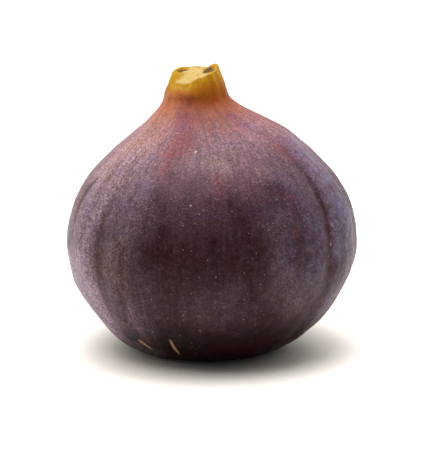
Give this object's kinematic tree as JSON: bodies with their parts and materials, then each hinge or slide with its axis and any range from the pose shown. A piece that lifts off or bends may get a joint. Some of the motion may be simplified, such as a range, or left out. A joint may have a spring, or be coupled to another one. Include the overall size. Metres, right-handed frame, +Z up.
{
  "type": "fresh fig",
  "caption": "Whole ripe purple fig with a short neck, a slanting cut stalk stub, softly furrowed skin and a closed eye, standing on its flattened base.",
  "frame": {"origin": "on the surface the fig stands on, under the middle of its bounding box", "axes": "+Z up through the stalk, +X across the front from left to right along the widest extent, -Y to the front, +Y along the shortest extent"},
  "size_m": [0.06, 0.0576, 0.0596],
  "materials": {
    "fig_skin": "satin"
  },
  "bodies": {
    "root": {"fig": "fig_skin"}
  },
  "joints": []
}
